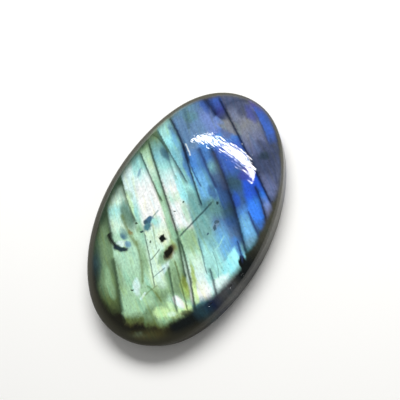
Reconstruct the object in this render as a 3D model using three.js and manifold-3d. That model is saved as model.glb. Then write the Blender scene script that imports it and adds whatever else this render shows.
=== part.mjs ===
// A polished labradorite cabochon: one oval stone with a flat ground back, a low
// bevelled side and a polished dome. Millimetres, +Z up. The stone lies on its back
// with the middle of the back at the origin, and its long axis runs along X.
import * as THREE from "three";
import { mergeVertices } from "three/addons/utils/BufferGeometryUtils.js";
import Module from "manifold-3d";

// Driving dimensions
const LENGTH = 45;
const WIDTH = 30.4;
const THICKNESS = 8;
const EDGE_HEIGHT = 3.2; // where the side meets the dome
const BACK_INSET = 0.75; // the flat back's edge, inside the widest outline
const BEVEL_HEIGHT = 0.5; // the ground corner between the back and the side
const BEVEL_INSET = 0.36; // top of that corner, inside the widest outline
const WALL_INSET = 0.04; // top of the side, inside the widest outline
const EDGE_ROUND = 0.35; // how far the polishing rounds the edge each way
const DOME_CUT = 0.99; // share of the dome's ellipse that is used: under 1 leaves a soft edge
const MERGE_GAP = 1e-4; // points closer than this are one point

// The outline was ground by hand, so it wavers off the true oval by these amounts
const WAVER = [
  { lobes: 2, size: 0.07, turn: -2.45 },
  { lobes: 3, size: 0.08, turn: 0.6 },
  { lobes: 4, size: 0.07, turn: -2.5 },
  { lobes: 6, size: 0.05, turn: 2.7 },
];

// Pits left in the polish on the shoulder: angle round the stone, height, size
const PITS = [
  { angle: -109.6, height: 4.34, along: 0.42, across: 0.26, depth: 0.2 },
  { angle: -102.3, height: 3.94, along: 0.2, across: 0.2, depth: 0.12 },
  { angle: -121.8, height: 4.6, along: 0.5, across: 0.2, depth: 0.16 },
];

// How finely the stone is cut into facets
const FACETS_ROUND = 112;
const DOME_STEPS = 24;
const CORNER_STEPS = 3;
const WALL_STEPS = 2;
const PIT_FACETS = 10;

const halfLength = LENGTH / 2;
const halfWidth = WIDTH / 2;
const degrees = Math.PI / 180;

// The dome is the top of an ellipse whose ends are cut off at the edge height
const cutShare = Math.sqrt(1 - DOME_CUT ** 2);
const domeRise = (THICKNESS - EDGE_HEIGHT) / (1 - cutShare);
const domeReach = halfWidth / DOME_CUT;
const domeBase = THICKNESS - domeRise;

function domePoint(angle) {
  return new THREE.Vector2(
    domeReach * Math.cos(angle),
    domeBase + domeRise * Math.sin(angle),
  );
}

// Half of the stone's cross-section over its width, from the back's middle to the top
function sectionPoints() {
  const bevelTop = new THREE.Vector2(halfWidth - BEVEL_INSET, BEVEL_HEIGHT);
  const wallTop = new THREE.Vector2(
    halfWidth - WALL_INSET,
    EDGE_HEIGHT - EDGE_ROUND,
  );
  const corner = new THREE.QuadraticBezierCurve(
    new THREE.Vector2(halfWidth - BACK_INSET, 0),
    new THREE.Vector2(halfWidth - BEVEL_INSET, 0),
    bevelTop,
  );
  const wall = new THREE.LineCurve(bevelTop, wallTop);
  const cutAngle = Math.acos(DOME_CUT);
  const domeStart = cutAngle + EDGE_ROUND / domeRise;
  const edge = new THREE.QuadraticBezierCurve(
    wallTop,
    new THREE.Vector2(halfWidth, EDGE_HEIGHT),
    domePoint(domeStart),
  );
  const dome = [];
  for (let step = 1; step <= DOME_STEPS; step++) {
    const share = step / DOME_STEPS;
    dome.push(domePoint(domeStart + (Math.PI / 2 - domeStart) * share));
  }
  dome[DOME_STEPS - 1].set(0, THICKNESS);
  return [
    new THREE.Vector2(0, 0),
    ...corner.getPoints(CORNER_STEPS),
    ...wall.getPoints(WALL_STEPS).slice(1),
    ...edge.getPoints(CORNER_STEPS).slice(1),
    ...dome,
  ];
}

// How much wider than the true oval the stone is at this angle, as a share
function waverAt(angle) {
  let share = 1;
  for (const { lobes, size, turn } of WAVER) {
    share += (size / halfWidth) * Math.cos(lobes * angle + turn);
  }
  return share;
}

// Turned round Z, then drawn out to the oval
function stoneGeometry() {
  const geometry = new THREE.LatheGeometry(sectionPoints(), FACETS_ROUND);
  geometry.rotateX(Math.PI / 2);
  const place = geometry.getAttribute("position");
  for (let i = 0; i < place.count; i++) {
    const x = place.getX(i);
    const y = place.getY(i);
    const share = waverAt(Math.atan2(y, x));
    place.setXY(i, (x * share * halfLength) / halfWidth, y * share);
  }
  return geometry;
}

// A shallow oval hollow, lying along the outline and facing out of the dome
function pitGeometry({ angle, height, along, across, depth }) {
  const turn = angle * degrees;
  const rise = Math.asin((height - domeBase) / domeRise);
  const reach = (Math.cos(rise) / DOME_CUT) * waverAt(turn);
  const middle = new THREE.Vector3(
    halfLength * reach * Math.cos(turn),
    halfWidth * reach * Math.sin(turn),
    height,
  );
  const tangent = new THREE.Vector3(
    -halfLength * Math.sin(turn),
    halfWidth * Math.cos(turn),
    0,
  ).normalize();
  const out = new THREE.Vector3(
    (Math.cos(turn) * Math.cos(rise)) / (halfLength / DOME_CUT),
    (Math.sin(turn) * Math.cos(rise)) / domeReach,
    Math.sin(rise) / domeRise,
  ).normalize();
  const side = new THREE.Vector3().crossVectors(out, tangent);
  const geometry = new THREE.SphereGeometry(1, PIT_FACETS, PIT_FACETS / 2);
  geometry.scale(along, across, depth);
  geometry.applyMatrix4(
    new THREE.Matrix4().makeBasis(tangent, side, out).setPosition(middle),
  );
  return geometry;
}

const wasm = await Module();
wasm.setup();

function solidOf(geometry) {
  geometry.deleteAttribute("normal");
  geometry.deleteAttribute("uv");
  const merged = mergeVertices(geometry, MERGE_GAP);
  return new wasm.Manifold(
    new wasm.Mesh({
      numProp: 3,
      vertProperties: merged.attributes.position.array,
      triVerts: new Uint32Array(merged.index.array),
    }),
  );
}

function geometryOf(solid) {
  const { vertProperties, triVerts } = solid.getMesh();
  const geometry = new THREE.BufferGeometry();
  geometry.setAttribute(
    "position",
    new THREE.BufferAttribute(vertProperties, 3),
  );
  geometry.setIndex(new THREE.BufferAttribute(triVerts, 1));
  geometry.computeVertexNormals();
  return geometry;
}

function pittedStone() {
  let stone = solidOf(stoneGeometry());
  for (const pit of PITS) {
    stone = stone.subtract(solidOf(pitGeometry(pit)));
  }
  return geometryOf(stone);
}

const labradorite = new THREE.MeshStandardMaterial({
  color: new THREE.Color(0.42, 0.56, 0.55),
  roughness: 0.08,
  metalness: 0,
});

const cabochon = new THREE.Mesh(pittedStone(), labradorite);
cabochon.name = "cabochon";

const part = new THREE.Group();
part.add(cabochon);

export default part;
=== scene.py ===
import math

import bmesh
import bpy
from mathutils import Matrix, Vector


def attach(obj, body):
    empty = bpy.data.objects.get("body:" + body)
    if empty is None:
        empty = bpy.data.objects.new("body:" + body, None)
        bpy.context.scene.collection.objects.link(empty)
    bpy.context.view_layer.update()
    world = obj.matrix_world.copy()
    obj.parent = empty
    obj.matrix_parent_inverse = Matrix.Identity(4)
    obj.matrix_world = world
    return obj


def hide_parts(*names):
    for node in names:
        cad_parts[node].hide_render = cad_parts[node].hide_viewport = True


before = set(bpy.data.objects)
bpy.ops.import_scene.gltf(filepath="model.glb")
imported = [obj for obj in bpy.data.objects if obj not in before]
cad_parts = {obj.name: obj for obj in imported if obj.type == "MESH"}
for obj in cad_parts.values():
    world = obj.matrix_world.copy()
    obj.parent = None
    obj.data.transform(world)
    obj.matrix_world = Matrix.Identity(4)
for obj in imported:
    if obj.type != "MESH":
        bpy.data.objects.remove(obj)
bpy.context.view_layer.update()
print("frame loaded")

mm = 0.001

# How the photo was taken: the camera looks down on the stone from its near side
shot = {
    "lens": 100,
    "sensor": 36,
    "frameWidth": 400,  # pixels
    "distance": 184.1 * mm,
    "azimuth": -14,
    "elevation": 62,
    "roll": -50.3,
    "stoneAt": (190.8, 221.4),  # the middle of the stone's back, in pixels of the photo
}

# The light: a large soft key lamp high over the stone's far tip, and a pale room
lamps = {
    "key": 0.95,  # light on the table, where 1 makes a white sheet full white
    "keyBearing": 15,  # degrees from the stone's long axis
    "keyLean": 41,  # degrees from straight above
    "keyReach": 300 * mm,
    "keySize": (324 * mm, 135 * mm),
    "sky": 0.3,
    "skySheen": 0.12,  # the same room as the polish mirrors it
    "skySeen": 2,  # more where the camera sees past the table
    "kept": 0.88,  # the share of light that the polish lets through
}

bearing, lean = math.radians(lamps["keyBearing"]), math.radians(lamps["keyLean"])
keyAim = Vector((math.sin(lean) * math.cos(bearing), math.sin(lean) * math.sin(bearing), math.cos(lean)))

# The solid's own sizes, as in the CAD part
stone = {
    "length": 45 * mm,
    "width": 30.4 * mm,
    "thickness": 8 * mm,
    "edgeHeight": 3.2 * mm,
    "backInset": 0.75 * mm,
    "bevelHeight": 0.5 * mm,
    "bevelInset": 0.36 * mm,
    "wallInset": 0.04 * mm,
    "edgeRound": 0.35 * mm,
    "domeCut": 0.99,
    "waver": ((2, 0.07 * mm, -2.45), (3, 0.08 * mm, 0.6), (4, 0.07 * mm, -2.5), (6, 0.05 * mm, 2.7)),
    "roundSteps": 520,
    "backSteps": 5,
    "cornerSteps": 8,
    "wallSteps": 12,
    "edgeSteps": 10,
    "domeSteps": 112,
}

halfLength = stone["length"] / 2
halfWidth = stone["width"] / 2
cutShare = math.sqrt(1 - stone["domeCut"] ** 2)
domeRise = (stone["thickness"] - stone["edgeHeight"]) / (1 - cutShare)
domeBase = stone["thickness"] - domeRise
domeReach = halfWidth / stone["domeCut"]


# The camera's right, up and back directions
def shotAxes():
    turn, lift, roll = (math.radians(shot[key]) for key in ("azimuth", "elevation", "roll"))
    back = Vector((math.sin(turn) * math.cos(lift), -math.cos(turn) * math.cos(lift), math.sin(lift)))
    level = Vector((0, 0, 1)).cross(back).normalized()
    rise = back.cross(level)
    right = math.cos(roll) * level + math.sin(roll) * rise
    return right, back.cross(right), back


cameraRight, cameraUp, cameraBack = shotAxes()
pixelsDeep = shot["lens"] / shot["sensor"] * shot["frameWidth"]  # the lens's length in pixels
frameMiddle = shot["frameWidth"] / 2


# Where the camera stands so that the stone's origin lands on its pixel
def cameraSpot():
    scale = shot["distance"] / pixelsDeep
    aside = (shot["stoneAt"][0] - frameMiddle) * scale
    down = (shot["stoneAt"][1] - frameMiddle) * scale
    return cameraBack * shot["distance"] - cameraRight * aside + cameraUp * down


eye = cameraSpot()


def domeHeight(x, y):
    reach = min(1, math.hypot(x / halfLength, y / halfWidth))
    return domeBase + domeRise * math.sqrt(1 - (stone["domeCut"] * reach) ** 2)


# The point of the stone's top that a pixel of the photo shows
def onStone(pixel):
    ray = cameraRight * (pixel[0] - frameMiddle) - cameraUp * (pixel[1] - frameMiddle)
    ray = (ray - cameraBack * pixelsDeep).normalized()
    above = (stone["thickness"] - eye.z) / ray.z
    below = -eye.z / ray.z
    for _ in range(40):
        middle = (above + below) / 2
        spot = eye + ray * middle
        if spot.z > domeHeight(spot.x, spot.y):
            above = middle
        else:
            below = middle
    return eye + ray * above


# The same point as seen from straight above, in millimetres
def inPlan(pixel):
    spot = onStone(pixel)
    return Vector((spot.x, spot.y)) / mm


# One half of the stone's section over its width: the back, the wall, the edge and the dome
def sectionPoints():
    bevelTop = Vector((halfWidth - stone["bevelInset"], stone["bevelHeight"]))
    wallTop = Vector((halfWidth - stone["wallInset"], stone["edgeHeight"] - stone["edgeRound"]))
    domeStart = math.acos(stone["domeCut"]) + stone["edgeRound"] / domeRise

    def domePoint(angle):
        return Vector((domeReach * math.cos(angle), domeBase + domeRise * math.sin(angle)))

    def bend(a, b, c, steps):
        for step in range(1, steps + 1):
            t = step / steps
            yield a * (1 - t) ** 2 + b * 2 * t * (1 - t) + c * t * t

    backEdge = Vector((halfWidth - stone["backInset"], 0))
    points = [backEdge * (step / stone["backSteps"]) for step in range(1, stone["backSteps"] + 1)]
    points += bend(backEdge, Vector((bevelTop.x, 0)), bevelTop, stone["cornerSteps"])
    for step in range(1, stone["wallSteps"] + 1):
        points.append(bevelTop.lerp(wallTop, step / stone["wallSteps"]))
    edge = Vector((halfWidth, stone["edgeHeight"]))
    points += bend(wallTop, edge, domePoint(domeStart), stone["edgeSteps"])
    for step in range(1, stone["domeSteps"]):
        points.append(domePoint(domeStart + (math.pi / 2 - domeStart) * step / stone["domeSteps"]))
    return points


# How much wider than the true oval the hand-ground outline is at this angle
def waverAt(angle):
    return 1 + sum(size / halfWidth * math.cos(lobes * angle + turn) for lobes, size, turn in stone["waver"])


# A small pit left in the polish: angle round the stone, then height, half sizes and depth
def pit(angle, height, along, across, depth):
    return {"angle": angle, "height": height, "along": along, "across": across, "depth": depth}


pits = {
    "darkPit": pit(-109.6, 4.34 * mm, 0.42 * mm, 0.26 * mm, 0.2 * mm),
    "chip": pit(-102.3, 3.94 * mm, 0.2 * mm, 0.2 * mm, 0.12 * mm),
    "longPit": pit(-121.8, 4.6 * mm, 0.5 * mm, 0.2 * mm, 0.16 * mm),
}


# The mesh is cut finer round each pit, as far out as this many times the pit's length
carving = {"reach": 1.6, "cuts": 3}


# A pit's middle on the dome, and its own directions: along the outline, up the dome and outwards
def pitPlace(look):
    turn = math.radians(look["angle"])
    rise = math.asin((look["height"] - domeBase) / domeRise)
    reach = math.cos(rise) / stone["domeCut"] * waverAt(turn)
    around = Vector((halfLength * math.cos(turn), halfWidth * math.sin(turn))) * reach
    middle = Vector((*around, look["height"]))
    along = Vector((-halfLength * math.sin(turn), halfWidth * math.cos(turn), 0)).normalized()
    out = Vector((
        math.cos(turn) * math.cos(rise) / (halfLength / stone["domeCut"]),
        math.sin(turn) * math.cos(rise) / domeReach,
        math.sin(rise) / domeRise,
    )).normalized()
    return middle, along, out.cross(along), out


def carvePits(mesh):
    work = bmesh.new()
    work.from_mesh(mesh)
    for look in pits.values():
        middle, along, side, out = pitPlace(look)
        reach = carving["reach"] * look["along"]
        near = {v for v in work.verts if (v.co - middle).length < reach}
        edges = [e for e in work.edges if e.verts[0] in near and e.verts[1] in near]
        bmesh.ops.subdivide_edges(work, edges=edges, cuts=carving["cuts"], use_grid_fill=True)
        for vert in work.verts:
            gap = vert.co - middle
            share = (gap.dot(along) / look["along"]) ** 2 + (gap.dot(side) / look["across"]) ** 2
            if share < 1 and gap.length < reach:
                vert.co -= out * look["depth"] * math.sqrt(1 - share)
    bmesh.ops.triangulate(work, faces=[f for f in work.faces if len(f.verts) > 4])
    work.to_mesh(mesh)
    work.free()


def makeStone():
    section = sectionPoints()
    steps = stone["roundSteps"]
    verts = []
    for point in section:
        for step in range(steps):
            angle = 2 * math.pi * step / steps
            share = waverAt(angle)
            x = point.x * share * math.cos(angle) * halfLength / halfWidth
            verts.append((x, point.x * share * math.sin(angle), point.y))
    faces = []
    for ring in range(len(section) - 1):
        for step in range(steps):
            a, b = ring * steps + step, ring * steps + (step + 1) % steps
            faces.append((a, b, b + steps, a + steps))
    verts += [(0, 0, 0), (0, 0, stone["thickness"])]
    foot, top, last = len(verts) - 2, len(verts) - 1, (len(section) - 1) * steps
    for step in range(steps):
        after = (step + 1) % steps
        faces.append((foot, after, step))
        faces.append((last + step, last + after, top))
    mesh = bpy.data.meshes.new("polished_stone")
    mesh.from_pydata(verts, [], faces)
    mesh.validate()
    carvePits(mesh)
    mesh.polygons.foreach_set("use_smooth", [True] * len(mesh.polygons))
    piece = bpy.data.objects.new("polished_stone", mesh)
    bpy.context.scene.collection.objects.link(piece)
    return piece


# The finish. One class wraps a socket, so that shader maths reads as maths
class Wire:
    def __init__(self, tree, socket=None):
        self.tree = tree
        self.socket = socket

    # Adds any node: its settings first, then its sockets, by name or number
    def node(self, kind, settings=None, sockets=None, out=0):
        made = self.tree.nodes.new(kind)
        for name, value in (settings or {}).items():
            if name == "stops":
                ramp = made.color_ramp.elements
                while len(ramp) < len(value):
                    ramp.new(1)
                for stop, (place, colour) in zip(ramp, value):
                    stop.position = place
                    stop.color = colour
            else:
                setattr(made, name, value)
        for name, value in (sockets or {}).items():
            if isinstance(value, Wire):
                self.tree.links.new(value.socket, made.inputs[name])
            else:
                made.inputs[name].default_value = value
        return Wire(self.tree, made.outputs[out] if made.outputs else None)

    def other(self, out):
        return Wire(self.tree, self.socket.node.outputs[out])

    # Values go through Math, vectors through Vector Math and colours through Mix
    def combine(self, operation, first, second):
        kinds = {side.socket.type for side in (first, second) if isinstance(side, Wire)}
        if kinds == {"VALUE"} and not isinstance(second, tuple):
            return self.math(operation, first, second)
        sides = [(side,) * 3 if isinstance(side, (int, float)) else side for side in (first, second)]
        if "RGBA" not in kinds or "VECTOR" in kinds:
            return self.node("ShaderNodeVectorMath", {"operation": operation}, {0: sides[0], 1: sides[1]})
        sides = [(*side, 1) if isinstance(side, tuple) else side for side in sides]
        settings = {"data_type": "RGBA", "blend_type": operation}
        return self.node("ShaderNodeMix", settings, {0: 1, 6: sides[0], 7: sides[1]}, out=2)

    def __add__(self, value):
        return self.combine("ADD", self, value)

    def __radd__(self, value):
        return self.combine("ADD", value, self)

    def __sub__(self, value):
        return self.combine("SUBTRACT", self, value)

    def __rsub__(self, value):
        return self.combine("SUBTRACT", value, self)

    def __mul__(self, value):
        return self.combine("MULTIPLY", self, value)

    def __rmul__(self, value):
        return self.combine("MULTIPLY", value, self)

    def math(self, operation, *values):
        return self.node("ShaderNodeMath", {"operation": operation}, dict(enumerate(values)))

    def dot(self, row):
        settings = {"operation": "DOT_PRODUCT"}
        return self.node("ShaderNodeVectorMath", settings, {0: self, 1: row}, out="Value")

    # From start at low to end at high, eased at both ends
    def ease(self, low, high, start=0, end=1):
        sockets = {"Value": self, "From Min": low, "From Max": high, "To Min": start, "To Max": end}
        return self.node("ShaderNodeMapRange", {"interpolation_type": "SMOOTHSTEP", "clamp": False}, sockets)

    # This colour with another laid over it
    def under(self, colour, share):
        return self.node("ShaderNodeMix", {"data_type": "RGBA"}, {0: share, 6: self, 7: colour}, out=2)

    def noise(self, scale, detail, out="Fac"):
        sockets = {"Vector": self, "Scale": scale, "Detail": detail}
        return self.node("ShaderNodeTexNoise", None, sockets, out=out)


# Tones of the flash and of the body, as they look on the screen
tones = {
    "white": (250, 254, 252),
    "frost": (222, 250, 246),
    "paleMint": (214, 247, 226),
    "mint": (182, 226, 196),
    "jade": (164, 206, 168),
    "sage": (146, 184, 142),
    "fern": (116, 146, 108),
    "moss": (88, 106, 62),
    "olive": (64, 62, 34),
    "pine": (44, 66, 46),
    "umber": (98, 66, 26),
    "lime": (208, 244, 178),
    "pear": (164, 192, 102),
    "foam": (172, 234, 228),
    "cyan": (168, 246, 252),
    "aqua": (138, 200, 210),
    "glacier": (126, 178, 174),
    "greyTeal": (98, 146, 150),
    "petrol": (56, 88, 106),
    "sky": (118, 186, 236),
    "azure": (86, 144, 218),
    "brightBlue": (60, 132, 246),
    "royal": (44, 92, 214),
    "cobalt": (66, 104, 194),
    "indigo": (66, 76, 160),
    "violet": (88, 86, 166),
    "mist": (108, 144, 184),
    "steel": (94, 128, 168),
    "denim": (60, 96, 150),
    "navy": (42, 60, 104),
    "midnight": (16, 28, 54),
    "periwinkle": (122, 148, 212),
    "dusk": (102, 112, 152),
    "lilac": (122, 130, 158),
    "haze": (138, 142, 150),
    "harbour": (68, 110, 138),
    "rust": (130, 112, 56),
    "gum": (106, 142, 122),
    "vine": (104, 122, 58),
    "slate": (68, 78, 108),
    "plum": (74, 82, 106),
    "deepTeal": (32, 56, 64),
    "ink": (10, 16, 16),
    "soot": (22, 22, 14),
    "stoneGrey": (71, 70, 58),
    "ash": (60, 62, 64),
    "cream": (238, 248, 220),
    "lake": (110, 156, 182),
    "reef": (76, 128, 140),
    "mud": (62, 62, 52),
}


def linear(channel):
    value = channel / 255
    return value / 12.92 if value < 0.04 else ((value + 0.055) / 1.055) ** 2.4


# How strongly the lamps light a point of the dome: 1 is a white sheet's full white
def lightAt(spot):
    reach = stone["domeCut"] / halfLength, stone["domeCut"] / halfWidth
    slope = Vector((spot.x * reach[0] ** 2, spot.y * reach[1] ** 2, (spot.z - domeBase) / domeRise ** 2))
    ray = keyAim * lamps["keyReach"] - spot
    facing = max(0, slope.normalized().dot(ray.normalized())) / keyAim.z
    falloff = (lamps["keyReach"] / ray.length) ** 2 * keyAim.dot(ray.normalized())
    return (lamps["sky"] + lamps["key"] * facing * falloff) * lamps["kept"]


# A tone as a shader colour, made up for how dim or bright the light is at that pixel's place
def tone(name, pixel=(191, 221), alpha=1):
    level = lightAt(onStone(pixel))
    return (*(linear(channel) / level for channel in tones[name]), alpha)


# Rows that turn a place in plan into steps along two sides which meet at a corner. Places
# carry 1 as their third number, so the third number of a row shifts to that corner
def rowsFor(corner, sideA, sideB):
    rows = Matrix(((sideA.x, sideB.x), (sideA.y, sideB.y))).inverted()
    return [(*row, -row.dot(corner)) for row in rows]


# Draws a soft blot of one tone
def patch(colour, place, look):
    turn = math.radians(look["turn"])
    x, y = look["at"]
    wide, tall = look["size"]
    middle = inPlan((x, y))
    along = inPlan((x + math.cos(turn), y + math.sin(turn))) - middle
    across = inPlan((x - math.sin(turn), y + math.cos(turn))) - middle
    a, b = (place.dot(row) for row in rowsFor(middle, along * wide, across * tall))
    ring = a.math("ABSOLUTE", a) + b.math("ABSOLUTE", b) if look["pointed"] else a * a + b * b
    mask = ring.ease(1, look["core"], 0, look["share"])
    return colour.under(tone(look["tone"], look["at"]), mask)


# Where a place lies along a path of three pixels of the photo, from 0 to 1, and across it: from
# 0 at so many pixels on one side to 1 on the other, which is on the right of a path going down
def follow(place, path, low, high):
    start, middle, end = (inPlan(pixel) for pixel in path)
    x, y = path[1]
    run = (Vector(path[2]) - Vector(path[0])).normalized()
    step = (inPlan((x + run.y, y - run.x)) - inPlan((x - run.y, y + run.x))) / 2
    rows = rowsFor(start + step * low, end - start, step * (high - low))
    along, across = (place.dot(row) for row in rows)
    share, bow = (Vector((*middle, 1)).dot(row) for row in rows)
    bow = (bow + low / (high - low)) / (share * (1 - share))
    arch = (1 - along) * along
    return along, arch, arch.math("MULTIPLY_ADD", arch, -bow, across), rows[0]


# The pixel of a bowed path that lies at this height (or at this distance from the photo's left,
# for a level path)
def pathPixel(path, at):
    start, middle, end = (Vector(pixel) for pixel in path)
    run = end - start
    way = 1 if abs(run.y) > abs(run.x) else 0
    share, half = (at - start[way]) / run[way], (middle - start)[way] / run[way]
    bow = (middle - start - run * half) / (half * (1 - half))
    return start + run * share + bow * share * (1 - share), Vector((run.y, -run.x)).normalized()


# A layer of the stone that starts at a seam and covers all to its right. Its tones are keyed by
# where along the seam they stand, and the next layer's seam cuts it off
def layer(colour, place, look):
    path, soft = look["path"], look.get("soft", 1.2)
    along, arch, across, row = follow(place, path, -soft, soft)
    stops = []
    for at, name in look["tones"].items():
        pixel, aside = pathPixel(path, at)
        share = Vector((*inPlan(pixel), 1)).dot(row)
        stops.append((share, tone(name, pixel + aside * look.get("inside", 6))))
    ramp = along.node("ShaderNodeValToRGB", {"stops": sorted(stops)}, {0: along})
    ends = arch.ease(0, 0.25 / look.get("fade", 6))
    return colour.under(ramp, ends * across.ease(0, 1, 0, look.get("share", 1)))


# A seam that crosses the stone. Its stops say what lies to the left and right of its path,
# in pixels: offset, tone, strength
def band(colour, place, look):
    low, high = look["stops"][0][0], look["stops"][-1][0]
    _, arch, across, _ = follow(place, look["path"], low, high)
    stops = []
    for offset, name, strength in look["stops"]:
        stops.append(((offset - low) / (high - low), tone(name, look["path"][1], strength)))
    ramp = across.node("ShaderNodeValToRGB", {"stops": stops}, {0: across})
    ends = arch.ease(0, 0.25 / look.get("fade", 3))
    return colour.under(ramp, ends * ramp.other("Alpha"))


# The finish: a polished dome, and a rim and side that are ground less fine. The rim starts at
# this share of the oval, shifted towards the camera
finish = {
    "rimMiddle": (0.3, -1.0),
    "rimShare": (0.83, 0.97),
    "rimTone": "stoneGrey",
    "rimRoughness": 0.4,
    "rimSheen": 0.06,
    "roughness": 0.04,
    "index": 1.56,
    "streaks": 0.7,  # how strongly fine growth lines lighten and darken the flash
    "tints": (  # the growth lines lean to yellow or to blue
        (0.35, (1, 0.97, 0.82, 1)),
        (0.45, (1, 1, 1, 1)),
        (0.55, (1, 1, 1, 1)),
        (0.65, (0.86, 0.98, 1, 1)),
    ),
    "specks": 0.45,  # what is left of the light in the dark specks
    "speckLevel": (0.64, 0.74),  # the specks lie where their noise is this high
    "growthLine": ((180, 130), (202, 190)),  # two pixels of the photo along the growth
    "growthStretch": 0.14,
    "rubLine": ((214, 140), (248, 166)),  # two pixels along the wiping marks of the polish
    "rubStretch": 0.25,
    "scratchDepth": 0.012,
}

# Scale per millimetre and detail of each fine noise, and shifts that keep two of them apart
grains = {
    "lines": (2.8, 4),
    "mottle": (2.2, 6),
    "tints": (1.6, 4),
    "tintShift": 19,
    "specks": (4.6, 3),
    "speckShift": 31,
    "scratches": (3, 1),
}

# The layers of the stone from left to right
layers = {
    "left": {
        "path": [(60, 150), (62, 240), (70, 345)],
        "tones": {190: "pine", 208: "pine", 222: "fern", 240: "fern", 262: "fern", 290: "fern",
                  304: "moss", 320: "soot"},
        "inside": 40,
    },
    "a": {
        "path": [(104, 186), (111.5, 240), (124, 330)],
        "tones": {190: "pine", 202: "paleMint", 212: "foam", 227: "paleMint", 237: "mint", 262: "mint",
                  286: "jade", 310: "jade", 320: "moss", 328: "olive"},
    },
    "b": {
        "path": [(117, 163), (133, 215), (145, 332)],
        "tones": {163: "fern", 171: "frost", 186: "frost", 198: "frost", 214: "foam", 223: "mint",
                  231: "sage", 239: "mint", 250: "jade", 260: "sage", 270: "jade", 280: "mint",
                  290: "jade", 303: "jade", 311: "fern", 318: "fern", 326: "moss", 331: "olive"},
    },
    "c": {
        "path": [(129, 146), (142, 222), (160, 333)],
        "tones": {152: "fern", 160: "glacier", 170: "foam", 179: "frost", 188: "white", 219: "white",
                  234: "paleMint", 283: "paleMint", 290: "sage", 298: "fern", 306: "sage", 314: "lime",
                  321: "sage", 327: "moss", 333: "olive"},
        "soft": 3,
    },
    "cLow": {
        "path": [(160, 250), (166, 285), (174, 328)],
        "tones": {260: "jade", 275: "sage", 292: "sage", 303: "mint", 311: "lime", 320: "moss"},
        "soft": 2.5,
        "fade": 1.5,
    },
    "d": {
        "path": [(136, 140), (152.5, 181), (175, 262)],
        "tones": {145: "pine", 150: "sage", 157: "mint", 171: "paleMint", 184: "mint", 193: "mint",
                  203: "jade", 212: "mint", 224: "jade", 240: "jade", 255: "jade"},
        "fade": 3,
    },
    "e": {
        "path": [(146, 132), (163, 190), (197, 322)],
        "tones": {140: "fern", 149: "glacier", 158: "aqua", 168: "foam", 180: "frost", 191: "white",
                  200: "paleMint", 208: "white", 225: "white", 233: "jade", 246: "jade", 256: "mint",
                  266: "paleMint", 280: "frost", 296: "white", 306: "greyTeal", 314: "soot"},
    },
    "eFar": {
        "path": [(174, 158), (186, 203), (200, 250)],
        "tones": {166: "glacier", 176: "aqua", 190: "foam", 200: "glacier", 216: "glacier",
                  232: "jade"},
        "soft": 4,
        "fade": 1.5,
    },
    "g": {
        "path": [(155, 123), (170, 153), (199, 199)],
        "tones": {122: "greyTeal", 130: "foam", 136: "foam", 143: "cyan", 153: "aqua", 168: "aqua",
                  188: "aqua", 197: "glacier"},
        "fade": 3,
    },
    "o": {
        "path": [(188, 210), (200.5, 250), (214, 308)],
        "tones": {220: "glacier", 238: "glacier", 247: "aqua", 258: "foam", 270: "foam", 279: "foam",
                  288: "frost", 298: "foam", 306: "greyTeal"},
        "soft": 2.5,
        "fade": 2,
    },
    "h": {
        "path": [(165, 106), (187, 157), (207, 218)],
        "tones": {112: "greyTeal", 121: "mist", 138: "mist", 148: "mist", 158: "azure", 170: "azure",
                  182: "sky", 196: "sky", 206: "greyTeal"},
        "fade": 2.5,
    },
    "fan": {
        "path": [(206, 196), (214, 228), (226, 270)],
        "tones": {202: "greyTeal", 214: "greyTeal", 224: "steel", 238: "sky", 252: "sky", 262: "aqua"},
        "soft": 5,
        "fade": 1.5,
    },
    "top": {
        "path": [(177, 78), (197, 112), (216, 144)],
        "tones": {99: "denim", 108: "steel", 117: "periwinkle", 130: "periwinkle", 140: "cobalt"},
        "soft": 5,
        "fade": 2,
    },
    "i": {
        "path": [(196, 139), (208, 170), (230, 224)],
        "tones": {148: "azure", 160: "azure", 168: "aqua", 178: "steel", 190: "denim", 205: "denim",
                  214: "petrol"},
        "fade": 2.5,
    },
    "fanFar": {
        "path": [(217, 194), (226, 226), (236, 272)],
        "tones": {202: "denim", 212: "petrol", 224: "denim", 236: "steel", 244: "azure", 252: "sky",
                  261: "cyan"},
        "soft": 4,
        "fade": 2,
    },
    "j": {
        "path": [(205, 135), (232.5, 203), (249, 268)],
        "tones": {142: "azure", 152: "cobalt", 168: "cobalt", 178: "denim", 186: "petrol", 195: "denim",
                  206: "denim", 215: "azure", 224: "sky", 236: "sky", 243: "lake", 249: "reef",
                  256: "pine"},
    },
    "n": {
        "path": [(240, 164), (247, 206), (263, 247)],
        "tones": {172: "indigo", 184: "royal", 195: "royal", 205: "brightBlue", 221: "brightBlue",
                  228: "denim", 236: "pine"},
        "soft": 3,
        "fade": 3,
    },
    "m": {
        "path": [(249, 170), (262, 206), (270, 242)],
        "tones": {179: "royal", 187: "royal", 196: "brightBlue", 207: "periwinkle", 216: "dusk",
                  226: "slate"},
    },
    "l": {
        "path": [(198, 86), (211, 108), (226, 128)],
        "tones": {98: "slate", 106: "cobalt", 113: "indigo", 119: "slate", 125: "haze"},
        "fade": 3,
    },
    "k": {
        "path": [(213, 84), (246, 150), (279, 221)],
        "tones": {95: "dusk", 107: "slate", 117: "lilac", 129: "haze", 140: "lilac", 152: "dusk",
                  162: "slate", 174: "slate", 184: "dusk", 196: "dusk", 204: "slate", 211: "mud"},
    },
    "right": {
        "path": [(246, 97), (268, 144), (281, 206)],
        "tones": {106: "violet", 116: "cobalt", 127: "cobalt", 136: "cobalt", 144: "slate",
                  158: "slate", 172: "plum", 188: "plum", 199: "mud"},
    },
}

# A soft blot of one tone: its middle and half sizes in pixels of the photo, and its share at the
# middle. A core above 0 keeps that much of it even, and a pointed one has four corners
def blot(at, size, name, share, turn=0, core=0, pointed=False):
    look = {"at": at, "size": size, "tone": name, "share": share}
    return {**look, "turn": turn, "core": core, "pointed": pointed}


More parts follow.
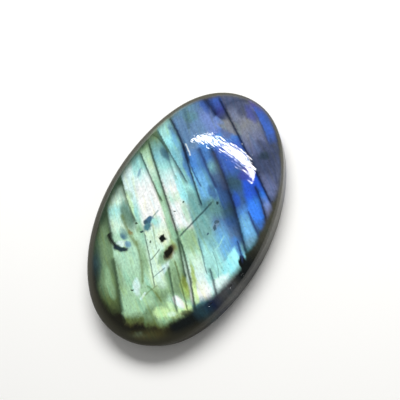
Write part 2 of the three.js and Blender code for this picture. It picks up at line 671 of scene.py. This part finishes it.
# Soft clouds of tone within the layers
clouds = {
    "leftTeal": blot((95, 266), (8, 26), "deepTeal", 0.8, turn=4),
    "leftGrey": blot((127, 216), (20, 7.5), "gum", 0.95, turn=66, core=0.1),
    "greyLow": blot((124, 234), (8, 5), "greyTeal", 0.7, turn=60),
    "aShade": blot((119, 276), (26, 5), "fern", 0.6, turn=80),
    "whiteSpot": blot((137, 287), (12, 5), "frost", 0.9, turn=80),
    "smudge": blot((139.5, 172), (8, 2), "steel", 0.6, turn=-60),
    "tealBelowSmudge": blot((129, 194), (7, 4), "jade", 0.6, turn=60),
    "limeBesideB": blot((131, 206), (16, 3), "lime", 0.7, turn=70),
    "mintPale": blot((157, 221), (8, 5), "foam", 0.7, turn=80),
    "spotWhite": blot((163.5, 269), (13, 5), "frost", 0.9, turn=-68, core=0.2),
    "tealNook": blot((161, 258), (8, 3), "greyTeal", 0.7, turn=-60),
    "mossStripe": blot((177, 284), (22, 5), "fern", 0.7, turn=78),
    "rustHalo": blot((172, 246), (9, 5), "pear", 0.6, turn=60),
    "sageHalo": blot((165, 255), (13, 7), "sage", 0.8, turn=-62, core=0.2),
    "mintSpot": blot((178.5, 303), (9, 5), "white", 0.9, turn=60, core=0.3),
    "limeLow": blot((161, 312), (11, 7), "lime", 0.8),
    "limeRight": blot((172, 314), (7, 4), "paleMint", 0.7),
    "greenGap": blot((191, 240), (16, 7), "sage", 0.6, turn=76),
    "pearStripe": blot((193, 276), (20, 3.4), "pear", 0.9, turn=78),
    "limeStripe": blot((195, 294), (14, 3.5), "lime", 0.8, turn=82, core=0.3),
    "pearPatch": blot((185, 289), (17, 5.5), "pear", 0.9, turn=76),
    "vinePatch": blot((184, 282), (10, 3), "vine", 0.8, turn=76),
    "azureEdge": blot((186, 164), (26, 4), "azure", 0.9, turn=68),
    "cyanMid": blot((181, 187), (20, 5.5), "cyan", 0.8, turn=68, core=0.2),
    "foamRight": blot((207, 256), (20, 5), "foam", 0.9, turn=76),
    "slateWedge": blot((165, 154), (11, 4), "petrol", 0.8, turn=62),
    "flashLow": blot((233, 262), (24, 9), "cyan", 1, turn=-64, core=0.3),
    "whiteTip": blot((221, 281), (13, 6), "frost", 0.9, turn=-52, core=0.3),
    "azureStreak": blot((239, 250), (17, 4), "azure", 0.9, turn=70),
    "steelTop": blot((190, 116), (10, 8), "greyTeal", 0.7),
    "royalTop": blot((205, 105), (11, 5), "cobalt", 0.8, turn=66),
    "hazeMid": blot((230, 127), (16, 8), "haze", 0.95, turn=25, core=0.4),
    "mintEdge": blot((186, 213), (17, 5), "mint", 0.8, turn=76),
    "tealLow": blot((204, 206), (12, 6), "reef", 0.6, turn=60),
    "lakeTop": blot((172.5, 131), (13, 4), "lake", 0.9, turn=62),
    "steelMid": blot((213, 192), (11, 5), "denim", 0.8, turn=65),
    "indigoRight": blot((251, 113), (14, 7), "indigo", 0.8, turn=60),
    "petrolGap": blot((232, 183), (10, 7), "petrol", 0.7, turn=40),
    "cobaltPatch": blot((236, 200), (10, 5), "royal", 0.6, turn=75),
    "indigoPatch": blot((243, 176), (8, 6), "indigo", 0.7),
    "duskUnder": blot((226, 134), (9, 5), "dusk", 0.8, turn=30),
    "slateTop": blot((241, 110), (10, 7), "slate", 0.8, turn=60),
    "slateRight": blot((262, 146), (11, 6), "slate", 0.8, turn=60),
    "blackNook": blot((243.5, 264), (12, 4.5), "ink", 1, turn=68, core=0.4),
    "oliveNook": blot((187, 314), (8, 4.5), "olive", 0.8, turn=10, core=0.2),
    "leftSage": blot((110, 284), (20, 5), "sage", 0.8, turn=78, core=0.2),
    "skyTop": blot((174, 139), (13, 4), "sky", 0.8, turn=64),
    "mistTop": blot((219, 121), (7, 4), "periwinkle", 0.6, turn=30),
    "footDark": blot((122.5, 319), (8, 4), "soot", 0.9, turn=75, core=0.2),
    "darkSlate": blot((264, 156), (8, 6), "deepTeal", 0.6),
}

# The dark shoulder of the dome, where the flash stops
shoulders = {
    "left": {
        "path": [(119, 340), (98, 268), (113.5, 190)],
        "tones": {310: "soot", 280: "ink", 262: "deepTeal", 246: "pine", 225: "soot", 205: "soot"},
        "soft": 6,
        "inside": 1,
        "fade": 5,
    },
    "topLeft": {
        "path": [(103, 230), (127, 171), (178, 111)],
        "tones": {215: "pine", 190: "pine", 165: "pine", 140: "pine", 122: "moss"},
        "soft": 5,
        "inside": 1,
        "fade": 4,
    },
    "leftLow": {
        "path": [(132, 340), (110, 310), (84, 284)],
        "tones": {275: "soot", 295: "soot", 310: "soot", 330: "soot"},
        "soft": 5,
        "inside": 2,
        "fade": 3,
    },
    "foot": {
        "path": [(204, 303), (158, 329.5), (112, 333)],
        "tones": {122: "soot", 134: "olive", 152: "olive", 170: "soot", 186: "ink"},
        "soft": 6,
        "inside": 4,
        "fade": 4,
    },
    "rightLow": {
        "path": [(256, 243), (222.5, 286), (166, 326)],
        "tones": {255: "mud", 249: "ink", 236: "ink", 228: "ash", 218: "ash", 209: "midnight",
                  199: "deepTeal", 189: "ink"},
        "soft": 4.5,
        "inside": 3,
        "fade": 6,
    },
    "topRight": {
        "path": [(232, 90), (270.5, 121), (282, 196)],
        "tones": {92: "mud", 140: "mud", 190: "mud"},
        "soft": 2,
        "inside": 1,
        "fade": 4,
    },
    "right": {
        "path": [(285, 140), (275, 196), (241, 266)],
        "tones": {140: "mud", 200: "mud", 230: "mud", 262: "ink"},
        "soft": 3.5,
        "inside": 3,
        "fade": 6,
    },
}


# A seam: thin and dark on its path, with a softer shade on either side if it is given one
def seam(path, name, width=1.2, strength=0.9, left=0, right=0, fade=3):
    stops = [(0, name, strength)]
    for side, reach in ((-1, left), (1, right)):
        if reach:
            stops.append((side * width / 2, name, strength * 0.75))
            stops.append((side * (width / 2 + reach / 3), name, strength * 0.4))
            stops.append((side * (width + reach), name, 0))
        else:
            stops += [(side * width / 2, name, strength * 0.7), (side * width, name, 0)]
    return {"path": path, "stops": sorted(stops), "fade": fade}


seams = {
    "a": seam([(104.5, 196), (108, 220), (112, 240)], "pine", 2, 0.9, left=4, right=2),
    "aLow": seam([(112.5, 256), (116.5, 280), (123, 315)], "pine", 2.4, 0.85, left=5),
    "b": seam([(121, 179), (126.5, 199), (136.5, 224)], "pine", 1.6, 0.8, left=4),
    "c": seam([(143.5, 230), (150, 260), (155, 289)], "pine", 1, 0.7),
    "cPale": seam([(152.5, 220), (154, 234), (157, 251)], "fern", 1, 0.5),
    "cRight": seam([(164, 217), (167.5, 228), (171, 239)], "fern", 1, 0.5),
    "d": seam([(139.3, 150), (150, 176), (163, 204)], "pine", 1.3, 0.85, left=2),
    "e": seam([(147.5, 138), (162.5, 187), (180, 243)], "pine", 1.9, 0.95, left=1.5, right=1),
    "eRight": seam([(178.5, 236), (188.5, 272), (196.5, 315)], "pine", 1.8, 0.95, left=3),
    "eLeft": seam([(177.5, 236), (183, 265), (186, 279)], "pine", 1.8, 0.9, left=3),
    "eThin": seam([(174, 258), (181, 284), (189, 314)], "moss", 1.3, 0.8),
    "eFaint": seam([(166, 148), (171, 166), (178, 181)], "petrol", 1, 0.5, left=3),
    "g": seam([(156.5, 128), (170, 153), (189, 186)], "deepTeal", 1.2, 0.8, left=3),
    "f": seam([(152, 134), (161, 141), (168.5, 154)], "pine", 1.3, 0.7, right=3),
    "h": seam([(168, 114), (178, 134), (190, 166)], "midnight", 2.4, 0.95, left=3, right=1.5),
    "hLow": seam([(182, 142), (192, 176), (203, 209)], "midnight", 1.4, 0.9, left=1.5),
    "hTwo": seam([(188, 160), (194.5, 174), (202, 188)], "navy", 1.2, 0.7),
    "faintTop": seam([(184, 108), (187, 119), (189, 130)], "petrol", 2, 0.6, left=3, right=2),
    "i": seam([(198, 146), (207.5, 169), (217, 190)], "navy", 2.4, 0.9, left=4, right=3),
    "j": seam([(208.5, 143), (233, 204), (247.5, 260)], "midnight", 2.6, 0.95, left=7, right=2),
    "k": seam([(217, 94), (246, 151), (276, 213)], "midnight", 1.8, 0.95, left=1.5, right=1.5),
    "l": seam([(201, 95), (208.5, 104), (217, 117)], "midnight", 4, 0.9, left=4, right=5),
    "right": seam([(251, 107), (269, 146), (277.5, 190)], "slate", 1.5, 0.8, left=3),
    "m": seam([(254, 184), (262.5, 206), (268.5, 232)], "midnight", 1.8, 0.95, left=3, right=3),
    "n": seam([(247.5, 210), (254, 225), (262, 242)], "navy", 1.8, 0.9, left=1),
    "o": seam([(197.5, 236), (202, 254), (207.5, 276)], "petrol", 1.1, 0.65),
    "p": seam([(209.5, 267), (213.5, 282), (218.5, 302)], "deepTeal", 1.9, 0.85, left=1.5, right=1),
    "q": seam([(168, 264), (171.5, 284), (178, 315)], "pine", 1.8, 0.8, left=2),
    "vein": seam([(121, 213), (127.5, 230), (138, 247)], "vine", 3, 0.6, left=1, right=2),
    "veinLow": seam([(135, 238), (140.5, 259), (142.5, 286)], "vine", 2.2, 0.7, left=1, right=1),
    "hook": seam([(108.5, 233), (112, 241.5), (119.5, 248.5)], "ink", 3.8, 1, left=1.5, right=1, fade=5),
    "bar": seam([(129, 249.5), (120.5, 249), (112.5, 246)], "midnight", 3, 1, left=2, right=1, fade=2),
    "crack": seam([(214, 200), (199, 216), (178, 238)], "deepTeal", 1.3, 0.8),
    "crackSmall": seam([(160, 248.5), (155.5, 254.5), (150, 261)], "pine", 0.9, 0.7),
    "crackLow": seam([(166, 267), (158.5, 273), (152, 278.5)], "petrol", 0.9, 0.6),
    "stroke": seam([(158.5, 210), (155.5, 213.5), (152, 217.5)], "greyTeal", 1.1, 0.7),
    "lowStroke": seam([(145.5, 292), (143, 296), (140, 300)], "frost", 1.6, 0.8),
    "netOne": seam([(146, 285), (155, 292.5), (162, 303)], "vine", 1.4, 0.6, left=1),
    "netTwo": seam([(158, 285), (151, 290), (144, 296)], "vine", 1.2, 0.5),
    "topSlant": seam([(176, 111), (183, 125), (191, 145)], "steel", 1.4, 0.7, left=1),
    "blueLine": seam([(237, 240), (240, 250), (243, 264)], "navy", 1.4, 0.8),
    "violetShade": seam([(212, 150), (218, 168), (226, 192)], "slate", 4, 0.6, left=3, right=3),
    "fine": seam([(212, 250), (216.5, 262), (219, 279)], "greyTeal", 0.9, 0.6),
    "arcLine": seam([(224, 235), (220.5, 243), (213, 251)], "foam", 1, 0.6),
    "whiteHair": seam([(185, 143), (188, 149), (190.5, 156)], "white", 1, 0.8),
}

# Small marks inside the stone, drawn last
marks = {
    "palePatch": blot((122, 243.3), (7, 3.4), "frost", 0.9, turn=6, core=0.3),
    "blueEnd": blot((127.8, 244.6), (5, 4), "lake", 0.95, turn=45),
    "greyCloud": blot((123.3, 236.6), (4.6, 3.6), "harbour", 0.8, turn=30),
    "tealBelow": blot((120.5, 249), (8.5, 3.2), "deepTeal", 1, turn=6),
    "blueTop": blot((149, 220.3), (6.6, 4.2), "harbour", 1, turn=-25, core=0.3),
    "blueDark": blot((145.5, 222), (3.4, 3), "petrol", 0.9),
    "blueLow": blot((147.5, 226.5), (6.6, 4.8), "reef", 1, turn=-45, core=0.1),
    "blueTick": blot((142, 231), (2.6, 1.2), "deepTeal", 0.9, turn=-20, core=0.3),
    "bluePale": blot((154.5, 221.5), (4.6, 4), "foam", 1, turn=60),
    "spotFringe": blot((163, 236), (9, 11), "cream", 0.8),
    "diamond": blot((162.5, 238.3), (5.2, 5.9), "ink", 1, turn=10, core=0.6, pointed=True),
    "brownFringe": blot((170, 252), (11.5, 6.5), "umber", 0.8, turn=-62, core=0.1),
    "brownSpot": blot((168.7, 252), (9, 4.4), "soot", 1, turn=-62, core=0.2),
    "flakeFringe": blot((215.5, 225), (7, 3), "haze", 0.4, turn=-66, core=0.3),
    "greyFlake": blot((216.5, 222), (3.6, 2.2), "petrol", 0.8, turn=-30, core=0.4),
    "flakeLow": blot((214.8, 227.5), (3.6, 1.9), "petrol", 0.8, turn=-80, core=0.4),
    "rustSpot": blot((130.3, 232.6), (4.4, 2.4), "rust", 0.8, turn=55),
    "dotOne": blot((136.5, 223.5), (1.7, 1.2), "pine", 0.9, turn=20, core=0.3),
    "dotTwo": blot((183.5, 202), (1.3, 1.1), "pine", 0.9, core=0.3),
    "dotThree": blot((174.5, 211.5), (1.2, 0.9), "pine", 0.8, core=0.3),
    "dotFour": blot((150.5, 241.5), (1.2, 1.2), "pine", 0.8, core=0.3),
    "dotFive": blot((132, 290), (1.5, 1.2), "pine", 0.9, core=0.3),
    "dotSix": blot((207.5, 234), (1.6, 1.2), "petrol", 0.9, core=0.3),
    "dotSeven": blot((217.5, 203), (2, 1.4), "deepTeal", 0.9, turn=40, core=0.3),
}


# A group of nodes that draws one kind of marking over a colour
def markings(name, looks, draw):
    tree = bpy.data.node_groups.new(name, "ShaderNodeTree")
    tree.interface.new_socket("Colour", in_out="INPUT", socket_type="NodeSocketColor")
    tree.interface.new_socket("Place", in_out="INPUT", socket_type="NodeSocketVector")
    tree.interface.new_socket("Colour", in_out="OUTPUT", socket_type="NodeSocketColor")
    colour = Wire(tree).node("NodeGroupInput")
    place = colour.other(1)
    for look in looks.values():
        colour = draw(colour, place, look)
    colour.node("NodeGroupOutput", None, {0: colour})
    return {"node_tree": tree}


# How far places wander off the drawn markings, in millimetres, and how finely
ripples = {
    "wander": {"scale": 0.5, "detail": 3, "reach": 1.2},
    "shake": {"scale": 2.2, "detail": 3, "reach": 0.25},
    "torn": {"scale": 1.4, "detail": 4, "reach": 0.8},
    "drift": {"scale": 0.45, "detail": 4, "reach": 3},  # along the growth only
}


def rippled(plan, ripple):
    waves = plan.noise(ripple["scale"], ripple["detail"], "Color") - 0.5
    return plan + waves * (ripple["reach"], ripple["reach"], 0)


# A place in plan, drawn out along the line between two pixels of the photo
def stretched(plan, run, stretch):
    row = (run.x * stretch, run.y * stretch, 0)
    sockets = {0: plan.dot(row), 1: plan.dot((run.y, -run.x, 0))}
    return plan.node("ShaderNodeCombineXYZ", None, sockets)


def direction(pixels):
    near, far = (inPlan(pixel) for pixel in pixels)
    return (far - near).normalized()


def stoneLook():
    growth = direction(finish["growthLine"])
    material = bpy.data.materials.new("labradorite")
    material.use_nodes = True
    tree = material.node_tree
    tree.nodes.clear()
    shader = Wire(tree)
    spot = shader.node("ShaderNodeTexCoord", out="Object") * (1 / mm)
    plan = spot * (1, 1, 0) + (0, 0, 1)
    colour = shader.node("ShaderNodeRGB")
    colour.socket.default_value = tone("mint")
    wander, shake, torn = (rippled(plan, ripples[key]) for key in ("wander", "shake", "torn"))
    drift = ripples["drift"]
    flow = shake + (plan.noise(drift["scale"], drift["detail"]) - 0.5) * (*(growth * drift["reach"]), 0)
    for name, looks, draw, place in (
        ("stone_layers", layers, layer, flow),
        ("stone_clouds", clouds, patch, wander),
        ("stone_seams", seams, band, shake),
        ("stone_marks", marks, patch, torn),
        ("stone_shoulders", shoulders, layer, shake),
    ):
        colour = shader.node("ShaderNodeGroup", markings(name, looks, draw), {0: colour, 1: place})
    # fine growth lines run along the seams, with a looser mottle over them
    lines = stretched(plan, growth, finish["growthStretch"])
    grain = (lines.noise(*grains["lines"]) + plan.noise(*grains["mottle"]) - 1) * finish["streaks"] + 1
    leaning = (lines + grains["tintShift"]).noise(*grains["tints"])
    tint = shader.node("ShaderNodeValToRGB", {"stops": finish["tints"]}, {0: leaning})
    specks = (plan + grains["speckShift"]).noise(*grains["specks"])
    colour = colour * tint * (grain * specks.ease(*finish["speckLevel"], 1, finish["specks"]))
    # the rim and the side
    middle = Vector(finish["rimMiddle"])
    rows = rowsFor(middle, Vector((halfLength / mm, 0)), Vector((0, halfWidth / mm)))
    a, b = (plan.dot(row) for row in rows)
    rim = (a * a + b * b).ease(*finish["rimShare"])
    wiping = stretched(plan, direction(finish["rubLine"]), finish["rubStretch"])
    scratches = wiping.noise(*grains["scratches"])
    depth = finish["scratchDepth"] * mm
    bump = shader.node("ShaderNodeBump", None, {"Height": scratches, "Distance": depth})
    polished = shader.node("ShaderNodeBsdfPrincipled", None, {
        "Base Color": colour, "Roughness": finish["roughness"], "IOR": finish["index"], "Normal": bump,
    })
    ground = shader.node("ShaderNodeBsdfPrincipled", None, {
        "Base Color": tone(finish["rimTone"]), "Roughness": finish["rimRoughness"],
        "Specular IOR Level": finish["rimSheen"],
    })
    surface = shader.node("ShaderNodeMixShader", None, {0: rim, 1: polished, 2: ground})
    shader.node("ShaderNodeOutputMaterial", None, {"Surface": surface})
    return material


piece = makeStone()
piece.data.materials.append(stoneLook())
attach(piece, "root")
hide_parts("cabochon")
print("stone made:", len(piece.data.polygons), "faces")


# The table: a wide pale sheet that the lamps wash out to white
table = {"half": 900 * mm, "tone": (0.945, 0.94, 0.918, 1), "roughness": 0.9, "sheen": 0.1}


def makeTable():
    half = table["half"]
    mesh = bpy.data.meshes.new("table_top")
    corners = [(-half, -half, 0), (half, -half, 0), (half, half, 0), (-half, half, 0)]
    mesh.from_pydata(corners, [], [(0, 1, 2, 3)])
    top = bpy.data.objects.new("table_top", mesh)
    bpy.context.scene.collection.objects.link(top)
    material = bpy.data.materials.new("table_paper")
    material.use_nodes = True
    paper = material.node_tree.nodes["Principled BSDF"].inputs
    paper["Base Color"].default_value = table["tone"]
    paper["Roughness"].default_value = table["roughness"]
    paper["Specular IOR Level"].default_value = table["sheen"]
    mesh.materials.append(material)
    return top


makeTable()


def makeLamps():
    light = bpy.data.lights.new("key_lamp", "AREA")
    light.shape = "ELLIPSE"
    light.size, light.size_y = lamps["keySize"]
    light.energy = lamps["key"] * (math.pi * lamps["keyReach"]) ** 2 / keyAim.z
    key = bpy.data.objects.new("key_lamp", light)
    key.location = keyAim * lamps["keyReach"]
    key.rotation_mode = "QUATERNION"
    key.rotation_quaternion = keyAim.to_track_quat("Z", "Y")
    key.visible_glossy = False
    bpy.context.scene.collection.objects.link(key)
    world = bpy.data.worlds.new("studio")
    world.use_nodes = True
    world.node_tree.nodes.clear()
    room = Wire(world.node_tree)
    sheen = room.node("ShaderNodeLightPath", out="Is Glossy Ray")
    seen = sheen.other("Is Camera Ray")
    level = sheen * (lamps["skySheen"] - lamps["sky"]) + lamps["sky"] + seen * lamps["skySeen"]
    background = room.node("ShaderNodeBackground", None, {"Color": (1, 1, 1, 1), "Strength": level})
    room.node("ShaderNodeOutputWorld", None, {"Surface": background})
    bpy.context.scene.world = world


makeLamps()

# The long white gleam: the mirror image of a narrow lamp. Each entry is a pixel of the photo on
# the gleam's middle line, and its half width there
gleam = {
    "line": ((192, 138.5, 0.3), (198, 138.4, 1.8), (206, 138.4, 2.7), (214, 139.8, 2.4), (221, 143, 2.3),
             (228, 147.4, 2.6), (235, 152.2, 3.3), (241, 157.6, 3.8), (246.5, 163.6, 3.2), (251, 170, 2.5),
             (253.4, 176, 1.6), (253.8, 181, 0.4)),
    "reach": 400 * mm,
    "strength": 40,
}


# Where the mirrored view ray of a pixel goes
def mirrored(pixel):
    spot = onStone(pixel)
    reach = stone["domeCut"] / halfLength, stone["domeCut"] / halfWidth
    slope = Vector((spot.x * reach[0] ** 2, spot.y * reach[1] ** 2, (spot.z - domeBase) / domeRise ** 2))
    return spot + (spot - eye).normalized().reflect(slope.normalized()) * gleam["reach"]


def makeGleamLamp():
    line = [Vector(entry[:2]) for entry in gleam["line"]]
    verts = []
    for i, (x, y, half) in enumerate(gleam["line"]):
        run = (line[min(i + 1, len(line) - 1)] - line[max(i - 1, 0)]).normalized()
        aside = Vector((run.y, -run.x)) * half
        verts += [mirrored(line[i] + aside), mirrored(line[i] - aside)]
    faces = [(i, i + 1, i + 3, i + 2) for i in range(0, len(verts) - 2, 2)]
    mesh = bpy.data.meshes.new("gleam_lamp")
    mesh.from_pydata(verts, [], faces)
    lamp = bpy.data.objects.new("gleam_lamp", mesh)
    bpy.context.scene.collection.objects.link(lamp)
    material = bpy.data.materials.new("gleam_light")
    material.use_nodes = True
    material.node_tree.nodes.clear()
    wire = Wire(material.node_tree)
    glow = wire.node("ShaderNodeEmission", None, {"Strength": gleam["strength"]})
    wire.node("ShaderNodeOutputMaterial", None, {"Surface": glow})
    mesh.materials.append(material)
    lamp.visible_camera = lamp.visible_diffuse = lamp.visible_shadow = False
    return lamp


makeGleamLamp()


def makeCamera():
    data = bpy.data.cameras.new("camera")
    data.lens = shot["lens"]
    data.sensor_width = shot["sensor"]
    data.clip_start = 5 * mm
    camera = bpy.data.objects.new("camera", data)
    axes = Matrix((cameraRight, cameraUp, cameraBack)).transposed()
    camera.matrix_world = Matrix.Translation(eye) @ axes.to_4x4()
    bpy.context.scene.collection.objects.link(camera)
    bpy.context.scene.camera = camera


makeCamera()
bpy.context.scene.view_settings.view_transform = "Standard"
print("stage, lamps and camera set")
